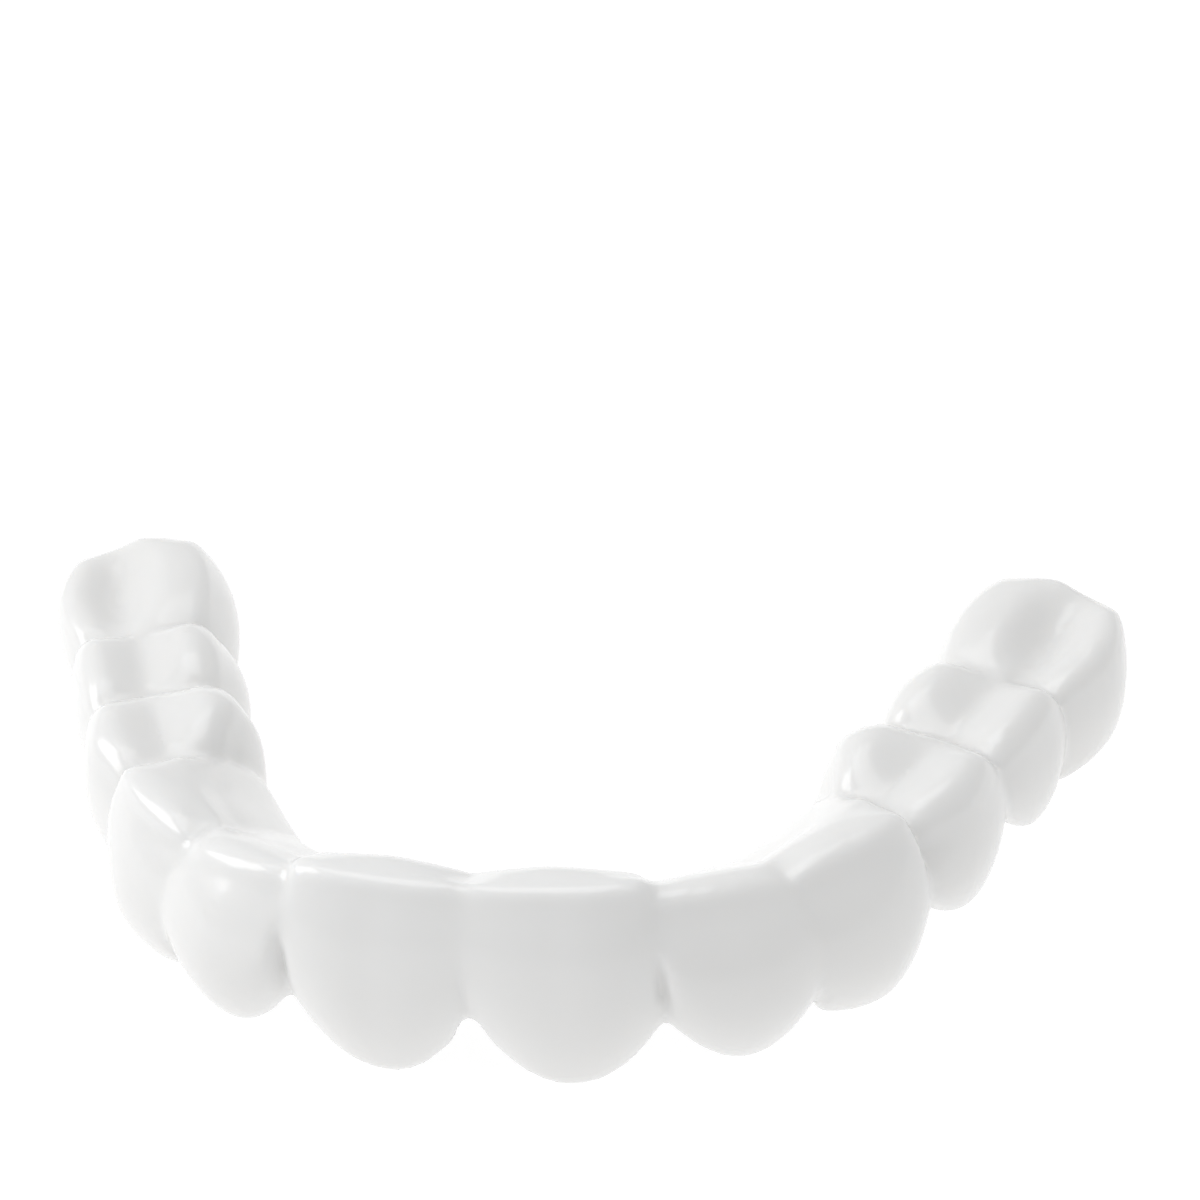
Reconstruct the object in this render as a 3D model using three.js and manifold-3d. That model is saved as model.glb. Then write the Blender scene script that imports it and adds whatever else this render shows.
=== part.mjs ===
// A clip-on dental veneer: one moulded resin shell of twelve fused teeth that snaps over the upper teeth.
// Millimetres, +Z up. It lies on its gum margins with the biting side up and the front teeth towards -Y.
// The origin is on the floor, under the middle of the whole shell.
import * as THREE from "three";
import { mergeVertices } from "three/addons/utils/BufferGeometryUtils.js";
import Module from "manifold-3d";

const wasm = await Module();
wasm.setup();

// The arch that the teeth stand on, measured between the midline and the middle of a molar.
const archHalfSpan = 27;
const archDepth = 29;
const archFullness = 2.68;

// The sizes that the teeth's shares follow: a central incisor's width along the arch, its height from
// the floor to its biting edge, and the thickness of a premolar from cheek to palate.
const incisorWidth = 9.1;
const incisorHeight = 12.4;
const premolarDepth = 10;

// The walls of the shell.
const labialWall = 1;
const palatalWall = 0.9;
const bitingWall = 1.5;
const endWall = 1.2;
const grooveWall = 0.6;

// How much of a crown's thickness is left where it meets its neighbour, towards the lip and the palate, and
// how much less that is towards the palate for a crown whose corners are fully round.
const lipAtContact = 0.74;
const palateAtContact = 0.95;
const palateCornerLoss = 0.5;
// How far a tooth runs into its neighbour at their contact, and how far the resting tips are trimmed flat.
const contactDepth = 0.3;
const restTrim = 0.15;
// A crown follows the arch's bend by this share, and stays straight for the rest of it.
const crownBend = 0.5;

// One row for each tooth, from the midline back. width is a share of incisorWidth. The heights, which are
// top, tilt, margin, riseMesial, riseDistal, palatalMargin, groove, dome, lipRound and palateRound, are
// shares of incisorHeight. tilt is how much higher the top's mesial side is than its middle. The
// thicknesses towards the lip and the palate, each at the gum, the bulge and the biting edge, are shares of
// premolarDepth. basin is how far a groove is a closed bowl, and fissure how far it lies towards the lip.
// slope is how steeply the top falls from its lip edge towards the palate. The biting edge rounds off from
// the share roundFrom out, and bow is how far the lip face falls back at its sides. The corners are how
// round the crown's plan is there.
const teeth = [
  { name: "central incisor",
    width: 1, top: 1, tilt: 0, margin: 0.02, riseMesial: 0.34, riseDistal: 0.28, palatalMargin: 0.16,
    lipGum: 0.24, lipBulge: 0.31, lipEdge: 0.06, palateGum: 0.4, palateBulge: 0.37, palateEdge: 0.24,
    groove: 0, basin: 0, fissure: 0, dome: 0.06, slope: 0.18, lipRound: 0.06, palateRound: 0.05,
    roundFrom: 0.4, bow: 0.25, mesialCorner: 0.2, distalCorner: 0.25, palateCorner: 0.1 },
  { name: "lateral incisor",
    width: 0.77, top: 0.915, tilt: 0.05, margin: 0.05, riseMesial: 0.28, riseDistal: 0.15, palatalMargin: 0.17,
    lipGum: 0.34, lipBulge: 0.46, lipEdge: 0.17, palateGum: 0.4, palateBulge: 0.48, palateEdge: 0.1,
    groove: 0, basin: 0, fissure: 0, dome: 0.06, slope: 0.35, lipRound: 0.09, palateRound: 0.03,
    roundFrom: 0.1, bow: 0.12, mesialCorner: 0.15, distalCorner: 0.15, palateCorner: 0.1 },
  { name: "canine",
    width: 0.785, top: 0.895, tilt: 0, margin: 0, riseMesial: 0.1, riseDistal: 0.2, palatalMargin: 0.15,
    lipGum: 0.41, lipBulge: 0.53, lipEdge: 0.28, palateGum: 0.46, palateBulge: 0.49, palateEdge: 0.1,
    groove: 0, basin: 0, fissure: 0, dome: 0.02, slope: 0.5, lipRound: 0.14, palateRound: 0.03,
    roundFrom: 0, bow: 0.1, mesialCorner: 0.12, distalCorner: 0.3, palateCorner: 0.15 },
  { name: "first premolar",
    width: 0.785, top: 0.75, tilt: 0, margin: 0.07, riseMesial: 0.21, riseDistal: 0.2, palatalMargin: 0.13,
    lipGum: 0.4, lipBulge: 0.47, lipEdge: 0.42, palateGum: 0.45, palateBulge: 0.54, palateEdge: 0.48,
    groove: 0.09, basin: 0, fissure: 0, dome: 0.12, slope: 0, lipRound: 0.17, palateRound: 0.145,
    roundFrom: 0.4, bow: 0.12, mesialCorner: 0.2, distalCorner: 0.25, palateCorner: 0.5 },
  { name: "second premolar",
    width: 0.72, top: 0.685, tilt: 0, margin: 0.075, riseMesial: 0.25, riseDistal: 0.15, palatalMargin: 0.08,
    lipGum: 0.4, lipBulge: 0.45, lipEdge: 0.4, palateGum: 0.51, palateBulge: 0.56, palateEdge: 0.46,
    groove: 0.1, basin: 0, fissure: 0, dome: 0.06, slope: 0, lipRound: 0.16, palateRound: 0.135,
    roundFrom: 0.4, bow: 0.12, mesialCorner: 0.2, distalCorner: 0.25, palateCorner: 0.5 },
  { name: "first molar",
    width: 1.03, top: 0.61, tilt: 0, margin: 0, riseMesial: 0.04, riseDistal: 0.17, palatalMargin: 0.04,
    lipGum: 0.45, lipBulge: 0.5, lipEdge: 0.48, palateGum: 0.5, palateBulge: 0.57, palateEdge: 0.46,
    groove: 0.11, basin: 0.8, fissure: 0.2, dome: 0.05, slope: 0, lipRound: 0.14, palateRound: 0.07,
    roundFrom: 0.5, bow: 0.18, mesialCorner: 0.2, distalCorner: 0.6, palateCorner: 0.6 },
];

// A crown narrows towards the gum by these shares of its width, at these shares of its height.
const taperHeights = [0, 0.55, 0.8, 1];
const taperWidths = [0.97, 0.99, 1, 0.98];
const bulgeHeight = 0.4;
// At the gum its corners are this much less round, so that the fused crowns meet in a shallow web there.
const cornerAtGum = 0.4;
// The cusps' crests stand at this share of the thickness, and the cheek-side cusp is domed this much less.
const crestAt = 0.62;
const cheekDome = 0.35;
// The palatal gum line rises between the teeth by this share of the incisor's height.
const palatalRise = 0.04;
// Between two teeth the biting edges round off by this much less than at the lip and the palate.
const sideRound = 0.4;

// Rows of facets of a crown, from its top's middle down, and facets round it.
const crownRows = { top: 6, side: 5, bottom: 2 };
const crownSides = 24;

const clamp01 = (x) => THREE.MathUtils.clamp(x, 0, 1);
const lerp = THREE.MathUtils.lerp;

// Straight-line reading of a value from matching lists of places and values.
function between(x, places, values) {
  let i = 1;
  while (i < places.length - 1 && x > places[i]) i += 1;
  return lerp(values[i - 1], values[i], clamp01((x - places[i - 1]) / (places[i] - places[i - 1])));
}

// The curve through three thicknesses: at the gum, at the bulge and at the biting edge.
function thickness(gum, bulge, edge, share) {
  const m = bulgeHeight;
  return (gum * (share - m) * (share - 1)) / m
    + (bulge * share * (share - 1)) / (m * (m - 1))
    + (edge * share * (share - m)) / (1 - m);
}

// Where the arch is at a distance along it from the midline, and which way it runs there.
const archSteps = 600;
const archTable = { along: [0], x: [0], y: [0] };
for (let i = 1; i <= archSteps; i += 1) {
  const x = (i / archSteps) * archHalfSpan * 1.4;
  const y = archDepth * (x / archHalfSpan) ** archFullness;
  const step = Math.hypot(x - archTable.x[i - 1], y - archTable.y[i - 1]);
  archTable.along.push(archTable.along[i - 1] + step);
  archTable.x.push(x);
  archTable.y.push(y);
}
function archAt(along) {
  const side = Math.sign(along);
  const x = side * between(Math.abs(along), archTable.along, archTable.x);
  const y = between(Math.abs(along), archTable.along, archTable.y);
  const slope = (archDepth * archFullness * (Math.abs(x) / archHalfSpan) ** (archFullness - 1)) / archHalfSpan;
  return { x, y, turn: side * Math.atan(slope) };
}

// A place given from a tooth's middle: its distance along the arch, towards the lip and up, on side +1 or
// -1 of the midline.
function onArch(middle, side, distal, lip, z) {
  const at = archAt(middle + distal);
  const turn = lerp(archAt(middle).turn, at.turn, crownBend);
  return [side * (at.x + lip * Math.sin(turn)), at.y - lip * Math.cos(turn), z];
}

// A point of the unit disc's edge, moved out to a square whose corners are rounded by the given share.
function roundedSquare(angle, roundness) {
  const c = Math.cos(angle);
  const s = Math.sin(angle);
  const reach = Math.max(Math.abs(c), Math.abs(s));
  const [a, b] = [c / reach, s / reach];
  return [a * Math.sqrt(1 - (roundness * b * b) / 2), b * Math.sqrt(1 - (roundness * a * a) / 2)];
}

// Each tooth in millimetres, with its middle's distance along the arch.
const heights = ["top", "tilt", "margin", "riseMesial", "riseDistal", "palatalMargin", "groove", "dome",
  "lipRound", "palateRound"];
const thicknesses = ["lipGum", "lipBulge", "lipEdge", "palateGum", "palateBulge", "palateEdge"];
let reached = 0;
const crowns = teeth.map((row) => {
  const tooth = { ...row, half: (row.width * incisorWidth) / 2 };
  for (const name of heights) tooth[name] = row[name] * incisorHeight;
  for (const name of thicknesses) tooth[name] = row[name] * premolarDepth;
  tooth.middle = reached + tooth.half;
  reached += 2 * tooth.half;
  return tooth;
});
const archLength = reached;

// A size of a tooth which runs smoothly into its neighbour's: both give the mean at the contact.
crowns.forEach((tooth, i) => {
  tooth.mesialNeighbour = crowns[i - 1] ?? tooth;
  tooth.distalNeighbour = crowns[i + 1] ?? tooth;
});
function shared(tooth, name, u) {
  const neighbour = u < 0 ? tooth.mesialNeighbour : tooth.distalNeighbour;
  return lerp(tooth[name], neighbour[name], Math.abs(u) / 2);
}

// Thickness of a tooth towards the lip (v > 0) or the palate (v < 0) at a share of its height.
function reachAt(tooth, u, v, share) {
  const at = (name) => shared(tooth, name, u);
  if (v < 0) return thickness(at("palateGum"), at("palateBulge"), at("palateEdge"), share);
  return (1 - tooth.bow * u * u) * thickness(at("lipGum"), at("lipBulge"), at("lipEdge"), share);
}

// The biting surface's height: two crests with a groove or a bowl between them, domed along the arch.
function bitingHeight(tooth, u, v, ring) {
  const across = clamp01(1 - Math.abs(v - tooth.fissure) / crestAt);
  const shape = lerp(across, THREE.MathUtils.smoothstep(across, 0, 1), tooth.basin);
  const groove = tooth.groove * shape * (1 - tooth.basin * u * u);
  const dome = tooth.dome * (v < 0 ? 1 : cheekDome) * u * u * clamp01(Math.abs(v) / crestAt);
  const turn = clamp01((ring - tooth.roundFrom) / (1 - tooth.roundFrom));
  const ahead = lerp(sideRound, 1, clamp01(Math.abs(v) / Math.max(ring, 0.01)));
  const round = ahead * (v < 0 ? tooth.palateRound : tooth.lipRound) * (1 - Math.sqrt(1 - turn * turn));
  const behind = shared(tooth, "lipEdge", u) - v * shared(tooth, v < 0 ? "palateEdge" : "lipEdge", u);
  return tooth.top - tooth.tilt * u - groove - dome - round - tooth.slope * behind;
}

// The scalloped gum margin's height, from the lip side across to the palatal side.
function marginHeight(tooth, u, v) {
  const lip = tooth.margin + (u < 0 ? tooth.riseMesial : tooth.riseDistal) * u * u;
  const palate = shared(tooth, "palatalMargin", u) + palatalRise * incisorHeight * u * u;
  return lerp(palate, lip, (1 + v) / 2);
}

// A point of a crown. ring runs from 0 in the middle to 1 at the sides, share from 0 at the gum to 1.
function crownPoint(tooth, angle, ring, share, onBottom) {
  const lipCorner = Math.cos(angle) < 0 ? tooth.mesialCorner : tooth.distalCorner;
  const fullCorner = Math.sin(angle) < 0 ? tooth.palateCorner : lipCorner;
  const corner = fullCorner * lerp(cornerAtGum, 1, clamp01(share / bulgeHeight));
  const [edgeU, edgeV] = roundedSquare(angle, corner);
  const u = edgeU * ring;
  const v = edgeV * ring;
  const low = marginHeight(tooth, u, v);
  const z = onBottom ? low : lerp(low, bitingHeight(tooth, u, v, ring), share);
  const distal = u * (tooth.half + contactDepth) * between(share, taperHeights, taperWidths);
  return [distal, v * reachAt(tooth, u, v, share), z - restTrim];
}

// A geometry whose doubled vertices are merged, and a closed one as a solid.
function welded(geometry) {
  geometry.deleteAttribute("normal");
  geometry.deleteAttribute("uv");
  return mergeVertices(geometry, 1e-4);
}
function solidFrom(geometry) {
  return new wasm.Manifold(new wasm.Mesh({
    numProp: 3,
    vertProperties: new Float32Array(geometry.attributes.position.array),
    triVerts: new Uint32Array(geometry.index.array),
  }));
}

// One tooth: a sphere whose upper rows make the biting surface, the middle ones the sides.
function crownSolid(tooth, side) {
  const { top, side: sides, bottom } = crownRows;
  const rows = top + sides + bottom;
  const geometry = new THREE.SphereGeometry(1, crownSides, rows);
  const points = geometry.attributes.position;
  for (let i = 0; i < points.count; i += 1) {
    const row = Math.floor(i / (crownSides + 1));
    const column = (i % (crownSides + 1)) % crownSides;
    const angle = (-side * 2 * Math.PI * column) / crownSides;
    const onTop = row <= top;
    const onBottom = row > top + sides;
    let ring = 1;
    if (onTop) ring = Math.sin((row / top) * (Math.PI / 2));
    if (onBottom) ring = (rows - row) / bottom;
    const share = onTop ? 1 : clamp01(1 - (row - top) / sides);
    points.setXYZ(i, ...onArch(tooth.middle, side, ...crownPoint(tooth, angle, ring, share, onBottom)));
  }
  return solidFrom(welded(geometry));
}

// The channel's sections: one at each tooth's middle, one at each contact and one at the closed end.
// Each has the thicknesses there less the walls, and the height of the channel's roof.
function section(along, owners, atContact) {
  const made = { along };
  for (const name of thicknesses) {
    const values = owners.map((tooth) => tooth[name]);
    const lipSide = name.startsWith("lip");
    const least = lipSide ? Math.min(...values) : values.reduce((sum, one) => sum + one) / values.length;
    const round = Math.max(...owners.map((tooth) => tooth.palateCorner));
    const across = lipSide ? lipAtContact : palateAtContact - palateCornerLoss * round;
    const wall = lipSide ? labialWall : palatalWall;
    made[name] = atContact ? least * across - grooveWall : least - wall;
  }
  const lowest = (height) => Math.min(...owners.map(height));
  const dome = (tooth) => (atContact ? tooth.dome : 0);
  made.lipTop = lowest((tooth) => tooth.top - tooth.lipRound - dome(tooth) * cheekDome);
  made.palateTop = lowest((tooth) => tooth.top - tooth.palateRound - dome(tooth)
    - tooth.slope * (tooth.lipEdge + tooth.palateEdge));
  made.lipLow = lowest((tooth) => tooth.margin);
  made.palateLow = lowest((tooth) => tooth.palatalMargin);
  made.roof = lowest((tooth) => tooth.top - Math.max(tooth.groove, dome(tooth)) - tooth.slope * tooth.lipEdge)
    - bitingWall;
  return made;
}
const levels = ["lipTop", "palateTop", "lipLow", "palateLow", "roof"];
const sections = [section(0, [crowns[0]], true)];
crowns.forEach((tooth, i) => {
  sections.push(section(tooth.middle, [tooth], false));
  const next = crowns[i + 1];
  if (next) sections.push(section(tooth.middle + tooth.half, [tooth, next], true));
});
sections.push(section(archLength - endWall, [crowns[crowns.length - 1]], true));

function sectionAt(along) {
  const places = sections.map((one) => one.along);
  const at = (name) => between(along, places, sections.map((one) => one[name]));
  return Object.fromEntries([...thicknesses, ...levels].map((name) => [name, at(name)]));
}

// The channel that the wearer's teeth go into: a cylinder bent along the whole arch, open below.
const channelBelow = 4;
const channelSides = 16;
const stepsPerSection = 2;
const channelCorner = 0.2;
// Where the walls would meet, the channel keeps this much on each side of the arch's line.
const channelLeast = 0.2;
function channelSolid() {
  const steps = 2 * stepsPerSection * (sections.length - 1);
  const geometry = welded(new THREE.CylinderGeometry(1, 1, 2, channelSides, steps));
  const places = sections.map((one) => one.along);
  const indices = places.map((_, i) => i);
  const points = geometry.attributes.position;
  for (let i = 0; i < points.count; i += 1) {
    const across = points.getX(i);
    const up = points.getZ(i);
    const ring = Math.hypot(across, up);
    const side = points.getY(i) < 0 ? -1 : 1;
    const along = between(Math.abs(points.getY(i)) * (sections.length - 1), indices, places);
    const here = sectionAt(along);
    const [edgeP, edgeQ] = ring > 0 ? roundedSquare(Math.atan2(up, across), channelCorner) : [0, 0];
    const z = lerp(-channelBelow, here.roof - restTrim, (1 + edgeQ * Math.min(ring, 1)) / 2);
    const share = (low, top) => clamp01((z - low) / (top - low));
    const reach = edgeP < 0
      ? thickness(here.palateGum, here.palateBulge, here.palateEdge, share(here.palateLow, here.palateTop))
      : thickness(here.lipGum, here.lipBulge, here.lipEdge, share(here.lipLow, here.lipTop));
    const lip = edgeP * Math.min(ring, 1) * Math.max(reach, channelLeast);
    points.setXYZ(i, ...onArch(along, side, 0, lip, z));
  }
  return solidFrom(geometry);
}

// What lies under the floor plane is trimmed off, which leaves the small flats that the shell rests on.
function floorTrim() {
  const reach = 2 * (archDepth + archHalfSpan);
  const block = new THREE.BoxGeometry(reach, reach, incisorHeight);
  block.translate(0, reach / 4, -incisorHeight / 2);
  return solidFrom(welded(block));
}

let shell = crownSolid(crowns[0], 1);
for (const [i, tooth] of crowns.entries()) {
  if (i > 0) shell = shell.add(crownSolid(tooth, 1));
  shell = shell.add(crownSolid(tooth, -1));
}
shell = shell.subtract(channelSolid()).subtract(floorTrim());

const mesh = shell.getMesh();
const shellGeometry = new THREE.BufferGeometry();
shellGeometry.setAttribute("position", new THREE.BufferAttribute(mesh.vertProperties, 3));
shellGeometry.setIndex(new THREE.BufferAttribute(mesh.triVerts, 1));
shellGeometry.computeBoundingBox();
const middle = shellGeometry.boundingBox.getCenter(new THREE.Vector3());
shellGeometry.translate(-middle.x, -middle.y, 0);
shellGeometry.computeVertexNormals();

const resin = new THREE.MeshStandardMaterial({ color: 0xf3f3f1, roughness: 0.22, metalness: 0 });
const veneerShell = new THREE.Mesh(shellGeometry, resin);
veneerShell.name = "veneer_shell";

const group = new THREE.Group();
group.add(veneerShell);

export default group;
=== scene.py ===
import bisect
import bpy
import bmesh
import math
from mathutils import Matrix, Vector


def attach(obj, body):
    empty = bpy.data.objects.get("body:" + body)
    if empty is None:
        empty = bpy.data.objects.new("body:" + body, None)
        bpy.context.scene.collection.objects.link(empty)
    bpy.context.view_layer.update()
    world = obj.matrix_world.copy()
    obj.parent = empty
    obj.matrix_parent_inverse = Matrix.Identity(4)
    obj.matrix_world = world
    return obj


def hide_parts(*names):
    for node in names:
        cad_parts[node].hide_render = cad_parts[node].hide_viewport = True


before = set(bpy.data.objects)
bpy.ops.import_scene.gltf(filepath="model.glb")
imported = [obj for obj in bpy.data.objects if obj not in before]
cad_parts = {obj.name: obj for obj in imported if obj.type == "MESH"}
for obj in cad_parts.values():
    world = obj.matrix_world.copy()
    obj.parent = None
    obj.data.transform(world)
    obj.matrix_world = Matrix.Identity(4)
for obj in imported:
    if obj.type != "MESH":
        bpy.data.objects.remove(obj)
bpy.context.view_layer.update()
MM = 0.001


# --- The veneer shell -------------------------------------------------------------------------------
# A single moulding of polished white dental resin. Twelve crowns are fused side by side along one arch,
# and a channel for the wearer's teeth is left open below. It is cast in one piece, then trimmed at the gum
# line and polished. Everything in this section is in millimetres until the finished mesh is scaled.
ARCH_HALF_SPAN, ARCH_DEPTH, ARCH_FULLNESS = 27, 29, 2.68
INCISOR_WIDTH, INCISOR_HEIGHT, PREMOLAR_DEPTH = 9.1, 12.4, 10
LIP_WALL, PALATE_WALL, BITING_WALL, END_WALL, GROOVE_WALL = 1, 0.9, 1.5, 1.2, 0.6
LIP_AT_CONTACT, PALATE_AT_CONTACT, PALATE_CORNER_LOSS = 0.74, 0.95, 0.5
CONTACT_DEPTH, REST_TRIM, CROWN_BEND = 0.3, 0.15, 0.5

# One row for each tooth, from the midline back: a share of INCISOR_WIDTH (width), shares of INCISOR_HEIGHT
# (HEIGHTS) and shares of PREMOLAR_DEPTH (THICKNESSES). tilt is how much higher the mesial side of the top
# is than its middle. basin is how far a groove is a closed bowl, and fissure how far it lies towards the
# lip. slope is how steeply the top falls towards the palate. The biting edge rounds off from round_from
# out, and bow is how far the lip face falls back at its sides. The corners are those of the crown's plan.
HEIGHTS = ("top", "tilt", "margin", "rise_mesial", "rise_distal", "palatal_margin", "groove", "dome",
           "lip_round", "palate_round")
THICKNESSES = ("lip_gum", "lip_bulge", "lip_edge", "palate_gum", "palate_bulge", "palate_edge")
TEETH = [
    dict(width=1, top=1, tilt=0,
         margin=0.02, rise_mesial=0.34, rise_distal=0.28, palatal_margin=0.16,
         lip_gum=0.24, lip_bulge=0.31, lip_edge=0.06, palate_gum=0.4, palate_bulge=0.37, palate_edge=0.24,
         groove=0, basin=0, fissure=0, dome=0.06, slope=0.18, lip_round=0.06, palate_round=0.05,
         round_from=0.4, bow=0.25, mesial_corner=0.2, distal_corner=0.25, palate_corner=0.1),
    dict(width=0.77, top=0.915, tilt=0.05,
         margin=0.05, rise_mesial=0.28, rise_distal=0.15, palatal_margin=0.17,
         lip_gum=0.34, lip_bulge=0.46, lip_edge=0.17, palate_gum=0.4, palate_bulge=0.48, palate_edge=0.1,
         groove=0, basin=0, fissure=0, dome=0.06, slope=0.35, lip_round=0.09, palate_round=0.03,
         round_from=0.1, bow=0.12, mesial_corner=0.15, distal_corner=0.15, palate_corner=0.1),
    dict(width=0.785, top=0.895, tilt=0,
         margin=0, rise_mesial=0.1, rise_distal=0.2, palatal_margin=0.15,
         lip_gum=0.41, lip_bulge=0.53, lip_edge=0.28, palate_gum=0.46, palate_bulge=0.49, palate_edge=0.1,
         groove=0, basin=0, fissure=0, dome=0.02, slope=0.5, lip_round=0.14, palate_round=0.03,
         round_from=0, bow=0.1, mesial_corner=0.12, distal_corner=0.3, palate_corner=0.15),
    dict(width=0.785, top=0.75, tilt=0,
         margin=0.07, rise_mesial=0.21, rise_distal=0.2, palatal_margin=0.13,
         lip_gum=0.4, lip_bulge=0.47, lip_edge=0.42, palate_gum=0.45, palate_bulge=0.54, palate_edge=0.48,
         groove=0.09, basin=0, fissure=0, dome=0.12, slope=0, lip_round=0.17, palate_round=0.145,
         round_from=0.4, bow=0.12, mesial_corner=0.2, distal_corner=0.25, palate_corner=0.5),
    dict(width=0.72, top=0.685, tilt=0,
         margin=0.075, rise_mesial=0.25, rise_distal=0.15, palatal_margin=0.08,
         lip_gum=0.4, lip_bulge=0.45, lip_edge=0.4, palate_gum=0.51, palate_bulge=0.56, palate_edge=0.46,
         groove=0.1, basin=0, fissure=0, dome=0.06, slope=0, lip_round=0.16, palate_round=0.135,
         round_from=0.4, bow=0.12, mesial_corner=0.2, distal_corner=0.25, palate_corner=0.5),
    dict(width=1.03, top=0.61, tilt=0,
         margin=0, rise_mesial=0.04, rise_distal=0.17, palatal_margin=0.04,
         lip_gum=0.45, lip_bulge=0.5, lip_edge=0.48, palate_gum=0.5, palate_bulge=0.57, palate_edge=0.46,
         groove=0.11, basin=0.8, fissure=0.2, dome=0.05, slope=0, lip_round=0.14, palate_round=0.07,
         round_from=0.5, bow=0.18, mesial_corner=0.2, distal_corner=0.6, palate_corner=0.6),
]
# A crown narrows towards the gum by these shares of its width, at these shares of its height.
TAPER_HEIGHTS, TAPER_WIDTHS = (0, 0.55, 0.8, 1), (0.97, 0.99, 1, 0.98)
BULGE_HEIGHT, CREST_AT, CHEEK_DOME, PALATAL_RISE = 0.4, 0.62, 0.35, 0.04
SIDE_ROUND, CORNER_AT_GUM = 0.4, 0.4


def clamp(x):
    return min(1, max(0, x))


def lerp(a, b, t):
    return a + (b - a) * t


def between(x, places, values):
    """Straight-line reading of a value from matching lists of places and values."""
    i = min(max(bisect.bisect_left(places, x), 1), len(places) - 1)
    return lerp(values[i - 1], values[i], clamp((x - places[i - 1]) / (places[i] - places[i - 1])))


def thickness(gum, bulge, edge, share):
    """The curve of a crown's face through its thickness at the gum, the bulge and the biting edge."""
    m = BULGE_HEIGHT
    return (gum * (share - m) * (share - 1) / m + bulge * share * (share - 1) / (m * (m - 1))
            + edge * share * (share - m) / (1 - m))


# The arch's curve is drawn in short steps, to a bit beyond the last tooth.
ARCH_STEPS, ARCH_REACH = 600, 1.4 * ARCH_HALF_SPAN
arch_along, arch_x, arch_y = [0.0], [0.0], [0.0]
for step in range(1, ARCH_STEPS + 1):
    x = step / ARCH_STEPS * ARCH_REACH
    y = ARCH_DEPTH * (x / ARCH_HALF_SPAN) ** ARCH_FULLNESS
    arch_along.append(arch_along[-1] + math.hypot(x - arch_x[-1], y - arch_y[-1]))
    arch_x.append(x)
    arch_y.append(y)


def arch_at(along):
    """The place and the turn of the arch at a distance along it from the midline."""
    side = -1 if along < 0 else 1
    x = between(abs(along), arch_along, arch_x)
    slope = ARCH_DEPTH * ARCH_FULLNESS * (x / ARCH_HALF_SPAN) ** (ARCH_FULLNESS - 1) / ARCH_HALF_SPAN
    return side * x, between(abs(along), arch_along, arch_y), side * math.atan(slope)


def on_arch(middle, side, distal, lip, z):
    """A place given from a tooth's middle: along the arch, towards the lip and up."""
    x, y, turn = arch_at(middle + distal)
    turn = lerp(arch_at(middle)[2], turn, CROWN_BEND)
    return Vector((side * (x + lip * math.sin(turn)), y - lip * math.cos(turn), z))


def rounded_square(angle, roundness):
    """A point on the edge of a square whose corners are rounded by the given share."""
    c, s = math.cos(angle), math.sin(angle)
    reach = max(abs(c), abs(s))
    a, b = c / reach, s / reach
    return a * math.sqrt(1 - roundness * b * b / 2), b * math.sqrt(1 - roundness * a * a / 2)


crowns, reached = [], 0
for row in TEETH:
    tooth = dict(row, half=row["width"] * INCISOR_WIDTH / 2)
    tooth.update({name: row[name] * INCISOR_HEIGHT for name in HEIGHTS})
    tooth.update({name: row[name] * PREMOLAR_DEPTH for name in THICKNESSES})
    tooth["middle"] = reached + tooth["half"]
    reached += 2 * tooth["half"]
    crowns.append(tooth)
for i, tooth in enumerate(crowns):
    tooth["mesial"] = crowns[max(i - 1, 0)]
    tooth["distal"] = crowns[min(i + 1, len(crowns) - 1)]


def shared(tooth, name, u):
    """A size of a tooth that runs smoothly into its neighbour's, with the mean at the contact."""
    return lerp(tooth[name], tooth["mesial" if u < 0 else "distal"][name], abs(u) / 2)


def reach_at(tooth, u, v, share):
    """The thickness towards the lip (v from 0 up) or the palate at a share of the crown's height."""
    names = THICKNESSES[:3] if v >= 0 else THICKNESSES[3:]
    bow = tooth["bow"] * u * u if v >= 0 else 0
    return (1 - bow) * thickness(*(shared(tooth, name, u) for name in names), share)


def biting_height(tooth, u, v, ring):
    """Two crests with a groove or a bowl between them, domed along the arch and rounded off at the edge."""
    dip = clamp(1 - abs(v - tooth["fissure"]) / CREST_AT)
    dip = lerp(dip, dip * dip * (3 - 2 * dip), tooth["basin"])
    groove = tooth["groove"] * dip * (1 - tooth["basin"] * u * u)
    dome = tooth["dome"] * (1 if v < 0 else CHEEK_DOME) * u * u * clamp(abs(v) / CREST_AT)
    turn = clamp((ring - tooth["round_from"]) / (1 - tooth["round_from"]))
    ahead = lerp(SIDE_ROUND, 1, clamp(abs(v) / max(ring, 0.01)))
    roundoff = tooth["palate_round" if v < 0 else "lip_round"] * ahead * (1 - math.sqrt(1 - turn * turn))
    behind = shared(tooth, "lip_edge", u) - v * shared(tooth, "palate_edge" if v < 0 else "lip_edge", u)
    return tooth["top"] - tooth["tilt"] * u - groove - dome - roundoff - tooth["slope"] * behind


def margin_height(tooth, u, v):
    """The scalloped gum margin, from the lip side across to the palatal side."""
    lip = tooth["margin"] + tooth["rise_mesial" if u < 0 else "rise_distal"] * u * u
    palate = shared(tooth, "palatal_margin", u) + PALATAL_RISE * INCISOR_HEIGHT * u * u
    return lerp(palate, lip, (1 + v) / 2)


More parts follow.
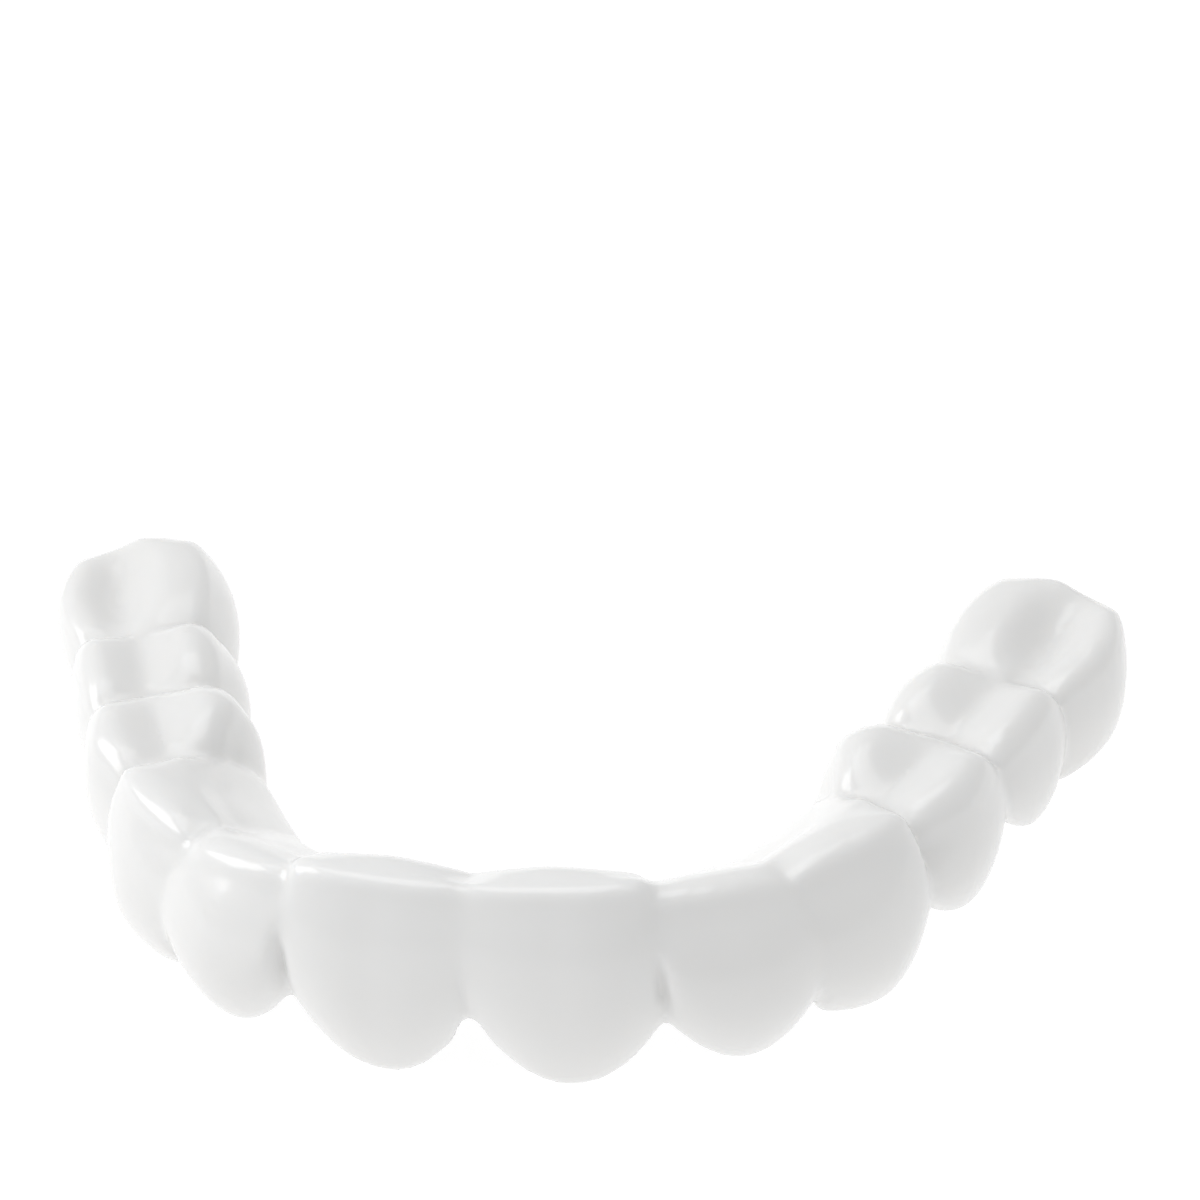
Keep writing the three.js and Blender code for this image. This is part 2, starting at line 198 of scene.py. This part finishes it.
def crown_point(tooth, angle, ring, share, on_bottom):
    """ring runs from 0 in the middle to 1 at the sides, and share from 0 at the gum to 1 at the top."""
    lip_corner = tooth["mesial_corner" if math.cos(angle) < 0 else "distal_corner"]
    corner = tooth["palate_corner"] if math.sin(angle) < 0 else lip_corner
    corner *= lerp(CORNER_AT_GUM, 1, clamp(share / BULGE_HEIGHT))
    edge_u, edge_v = rounded_square(angle, corner)
    u, v = edge_u * ring, edge_v * ring
    low = margin_height(tooth, u, v)
    z = low if on_bottom else lerp(low, biting_height(tooth, u, v, ring), share)
    distal = u * (tooth["half"] + CONTACT_DEPTH) * between(share, TAPER_HEIGHTS, TAPER_WIDTHS)
    return distal, v * reach_at(tooth, u, v, share), z - REST_TRIM


JOIN_DISTANCE = 1e-5


def solid(name, bm):
    """A closed, outward-facing object from a bmesh, which it frees."""
    bmesh.ops.remove_doubles(bm, verts=bm.verts, dist=JOIN_DISTANCE)
    bmesh.ops.recalc_face_normals(bm, faces=bm.faces)
    mesh = bpy.data.meshes.new(name)
    bm.to_mesh(mesh)
    bm.free()
    made = bpy.data.objects.new(name, mesh)
    bpy.context.collection.objects.link(made)
    return made


# A crown is a sphere whose rows down to TOP_ENDS make the biting surface, those down to SIDES_END the sides,
# and the rest the underside.
TOP_ENDS, SIDES_END = 0.4, 0.85


def crown(tooth, side):
    bm = bmesh.new()
    bmesh.ops.create_uvsphere(bm, u_segments=72, v_segments=60, radius=1)
    for vert in bm.verts:
        down = math.acos(max(-1, min(1, vert.co.z))) / math.pi
        angle = math.atan2(vert.co.y, vert.co.x)
        on_bottom = down > SIDES_END
        ring, share = 1, clamp(1 - (down - TOP_ENDS) / (SIDES_END - TOP_ENDS))
        if down < TOP_ENDS:
            ring, share = math.sin(down / TOP_ENDS * math.pi / 2), 1
        if on_bottom:
            ring = (1 - down) / (1 - SIDES_END)
        vert.co = on_arch(tooth["middle"], side, *crown_point(tooth, angle, ring, share, on_bottom))
    return solid("crown", bm)


def section(along, owners, at_contact):
    """The channel at one place: its thicknesses less the walls, and the heights that shape it."""
    made = {"along": along}
    for name in THICKNESSES:
        values = [tooth[name] for tooth in owners]
        if name.startswith("lip"):
            least, across, wall = min(values), LIP_AT_CONTACT, LIP_WALL
        else:
            across = PALATE_AT_CONTACT - PALATE_CORNER_LOSS * max(tooth["palate_corner"] for tooth in owners)
            least, wall = sum(values) / len(values), PALATE_WALL
        made[name] = least * across - GROOVE_WALL if at_contact else least - wall
    domes = [tooth["dome"] if at_contact else 0 for tooth in owners]
    made["lip_top"] = min(t["top"] - t["lip_round"] - d * CHEEK_DOME for t, d in zip(owners, domes))
    made["palate_top"] = min(
        t["top"] - t["palate_round"] - d - t["slope"] * (t["lip_edge"] + t["palate_edge"])
        for t, d in zip(owners, domes))
    made["lip_low"] = min(t["margin"] for t in owners)
    made["palate_low"] = min(t["palatal_margin"] for t in owners)
    made["roof"] = min(t["top"] - max(t["groove"], d) - t["slope"] * t["lip_edge"]
                       for t, d in zip(owners, domes)) - BITING_WALL
    return made


sections = [section(0, [crowns[0]], True)]
for i, tooth in enumerate(crowns):
    sections.append(section(tooth["middle"], [tooth], False))
    if i + 1 < len(crowns):
        sections.append(section(tooth["middle"] + tooth["half"], [tooth, crowns[i + 1]], True))
sections.append(section(reached - END_WALL, [crowns[-1]], True))


# The channel starts this far below the floor, keeps at least this much on each side of the arch's line,
# and has corners rounded by this share.
CHANNEL_BELOW, CHANNEL_LEAST, CHANNEL_CORNER = 4, 0.2, 0.2
CHANNEL_ROWS = 160


def channel():
    """What the wearer's teeth fill: a sphere drawn out along the arch, each end flat."""
    bm = bmesh.new()
    bmesh.ops.create_uvsphere(bm, u_segments=48, v_segments=CHANNEL_ROWS, radius=1)
    places = [one["along"] for one in sections]
    spread = [i / (len(places) - 1) for i in range(len(places))]
    for vert in bm.verts:
        down = math.acos(max(-1, min(1, vert.co.z))) / math.pi
        radial = 0 if down < 1e-4 or down > 1 - 1e-4 else 1
        side = 1 if down < 0.5 else -1
        along = between(min(1, abs(2 * down - 1) / (1 - 2 / CHANNEL_ROWS)), spread, places)
        here = {name: between(along, places, [one[name] for one in sections])
                for name in sections[0] if name != "along"}
        edge_p, edge_q = rounded_square(math.atan2(vert.co.y, vert.co.x), CHANNEL_CORNER)
        z = lerp(-CHANNEL_BELOW, here["roof"] - REST_TRIM, (1 + edge_q * radial) / 2)
        face, kind = (THICKNESSES[3:], "palate") if edge_p < 0 else (THICKNESSES[:3], "lip")
        share = clamp((z - here[kind + "_low"]) / (here[kind + "_top"] - here[kind + "_low"]))
        reach = max(thickness(*(here[name] for name in face), share), CHANNEL_LEAST)
        vert.co = on_arch(along, side, 0, edge_p * radial * reach, z)
    return solid("channel", bm)


def floor_block():
    """What lies under the floor is trimmed off, which leaves the small flats that the shell rests on."""
    wide, deep = 200, 10
    bm = bmesh.new()
    bmesh.ops.create_cube(bm, size=1)
    bmesh.ops.scale(bm, vec=(wide, wide, deep), verts=bm.verts)
    bmesh.ops.translate(bm, vec=(0, 0, -deep / 2), verts=bm.verts)
    return solid("floor_block", bm)


def combine(base, tool, operation):
    modifier = base.modifiers.new(operation.lower(), "BOOLEAN")
    modifier.operation, modifier.object, modifier.solver = operation, tool, "MANIFOLD"


blanks = [crown(tooth, side) for tooth in crowns for side in (1, -1)]
for other in blanks[1:]:
    combine(blanks[0], other, "UNION")
cutters = [channel(), floor_block()]
for cutter in cutters:
    combine(blanks[0], cutter, "DIFFERENCE")
# Casting melts the crowns into one skin, and the polish rounds its creases and edges.
CAST_GRAIN, POLISH_PASSES = 0.245, 20
remesh = blanks[0].modifiers.new("cast", "REMESH")
remesh.mode, remesh.voxel_size, remesh.adaptivity = "VOXEL", CAST_GRAIN, 0
polish = blanks[0].modifiers.new("polish", "SMOOTH")
polish.factor, polish.iterations = 0.5, POLISH_PASSES

cast = bpy.data.meshes.new_from_object(blanks[0].evaluated_get(bpy.context.evaluated_depsgraph_get()))
for spare in blanks + cutters:
    bpy.data.objects.remove(spare)
low = [min(vert.co[k] for vert in cast.vertices) for k in range(3)]
high = [max(vert.co[k] for vert in cast.vertices) for k in range(3)]
centre_x, centre_y = (low[0] + high[0]) / 2, (low[1] + high[1]) / 2
cast.transform(Matrix.Scale(MM, 4) @ Matrix.Translation((-centre_x, -centre_y, -low[2])))
cast.name = "tooth_shell"
for face in cast.polygons:
    face.use_smooth = True
tooth_shell = bpy.data.objects.new("tooth_shell", cast)
bpy.context.collection.objects.link(tooth_shell)


class Wire:
    """An output of a shader node. Sums and products of wires add their Math nodes."""

    def __init__(self, tree, socket=None):
        self.tree, self.socket = tree, socket

    def node(self, kind, settings, inputs, output=0):
        made = self.tree.nodes.new(kind)
        for name, value in settings.items():
            setattr(made, name, value)
        for name, value in inputs.items():
            if isinstance(value, Wire):
                self.tree.links.new(value.socket, made.inputs[name])
            else:
                made.inputs[name].default_value = value
        return Wire(self.tree, made.outputs[output] if made.outputs else None)

    def math(self, operation, a, b):
        return self.node("ShaderNodeMath", {"operation": operation}, {0: a, 1: b})

    def __add__(self, other):
        return self.math("ADD", self, other)

    def __radd__(self, other):
        return self.math("ADD", other, self)

    def __mul__(self, other):
        return self.math("MULTIPLY", self, other)

    def __rmul__(self, other):
        return self.math("MULTIPLY", other, self)


def new_material(name):
    material = bpy.data.materials.new(name)
    material.use_nodes = True
    material.node_tree.nodes.clear()
    return material, Wire(material.node_tree)


# The resin is clouded inside, so that light softens in it, and polished to a slightly wavy gloss.
resin, wire = new_material("polished_tooth_resin")
place = wire.node("ShaderNodeTexCoord", {}, {}, "Object")


def noise(scale, detail):
    return wire.node("ShaderNodeTexNoise", {}, {"Vector": place, "Scale": scale, "Detail": detail}, "Fac")


clouds = noise(160, 3)
flow = noise(420, 2)
grain = noise(6000, 3)
height = wire.node("ShaderNodeSeparateXYZ", {}, {"Vector": place}, "Z") * (1 / (INCISOR_HEIGHT * MM))
body = wire.node("ShaderNodeMix", {"data_type": "RGBA"}, {
    "Factor": height, "A": (0.78, 0.776, 0.766, 1), "B": (0.764, 0.768, 0.768, 1)}, "Result")
colour = wire.node("ShaderNodeMix", {"data_type": "RGBA"}, {
    "Factor": clouds * 0.5, "A": body, "B": (0.79, 0.79, 0.785, 1)}, "Result")
rough = 0.15 + 0.06 * flow + 0.04 * grain
waves = wire.node("ShaderNodeBump", {}, {"Height": flow, "Strength": 0.25, "Distance": 0.00006}, "Normal")
bump = wire.node("ShaderNodeBump", {}, {
    "Height": grain, "Strength": 0.1, "Distance": 0.00001, "Normal": waves}, "Normal")
shader = wire.node("ShaderNodeBsdfPrincipled", {}, {
    "Base Color": colour, "Roughness": rough, "Normal": bump, "IOR": 1.5, "Coat Weight": 0.1 + 0.15 * clouds,
    "Coat Roughness": 0.1, "Subsurface Weight": 0.5, "Subsurface Radius": (1, 0.97, 0.93),
    "Subsurface Scale": 0.0015}, "BSDF")
wire.node("ShaderNodeOutputMaterial", {}, {"Surface": shader})
tooth_shell.data.materials.clear()
tooth_shell.data.materials.append(resin)
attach(tooth_shell, "root")
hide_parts("veneer_shell")


# --- The studio ---------------------------------------------------------------------------------------
# A plain white sheet that is lit through from below, as a light table is, so that the shell throws almost
# no shadow on it. A broad soft light stands on the left of the picture, a wide one hangs over the shell, and
# the pale surround fills the rest.
bm = bmesh.new()
bmesh.ops.create_grid(bm, x_segments=1, y_segments=1, size=3)
sheet = solid("floor", bm)
floor_white, wire = new_material("floor_white")
shader = wire.node("ShaderNodeBsdfPrincipled", {}, {
    "Base Color": (0.2, 0.2, 0.2, 1), "Roughness": 0.8, "Specular IOR Level": 0.1,
    "Emission Color": (1, 1, 1, 1), "Emission Strength": 0.9}, "BSDF")
wire.node("ShaderNodeOutputMaterial", {}, {"Surface": shader})
sheet.data.materials.append(floor_white)


def softbox(name, place, aim, size, power):
    light = bpy.data.lights.new(name, "AREA")
    light.shape, light.size, light.energy = "SQUARE", size, power
    made = bpy.data.objects.new(name, light)
    made.location = place
    made.rotation_euler = (Vector(aim) - Vector(place)).to_track_quat("-Z", "Y").to_euler()
    bpy.context.collection.objects.link(made)


softbox("key", (-0.5, -0.03, 0.3), (0, 0, 0), 0.35, 1.25)
softbox("top", (-0.05, 0.12, 0.55), (0, 0, 0), 0.5, 1.1)

world = bpy.data.worlds.new("surround")
world.use_nodes = True
world.node_tree.nodes["Background"].inputs["Color"].default_value = (1, 1, 1, 1)
world.node_tree.nodes["Background"].inputs["Strength"].default_value = 0.6
bpy.context.scene.world = world
bpy.context.scene.view_settings.view_transform = "Standard"


# --- The camera ---------------------------------------------------------------------------------------
# A long lens about 18 cm from the shell, 39 degrees above the floor and 14 degrees to the right of the
# middle. The shell lies in the lower half of the picture.
TURN, RISE, ROLL = (math.radians(a) for a in (13.8, 39.2, -6.04))
DISTANCE, LENS = 178.5 * MM, 86.8
TARGET = Vector((-0.5, 21.6, -0.15)) * MM
back = Vector((math.sin(TURN) * math.cos(RISE), -math.cos(TURN) * math.cos(RISE), math.sin(RISE)))
camera = bpy.data.objects.new("camera", bpy.data.cameras.new("camera"))
camera.data.lens, camera.data.sensor_width = LENS, 36
camera.data.clip_start = 0.01
camera.location = TARGET + back * DISTANCE
camera.rotation_euler = (back.to_track_quat("Z", "Y").to_matrix() @ Matrix.Rotation(ROLL, 3, "Z")).to_euler()
bpy.context.collection.objects.link(camera)
bpy.context.scene.camera = camera
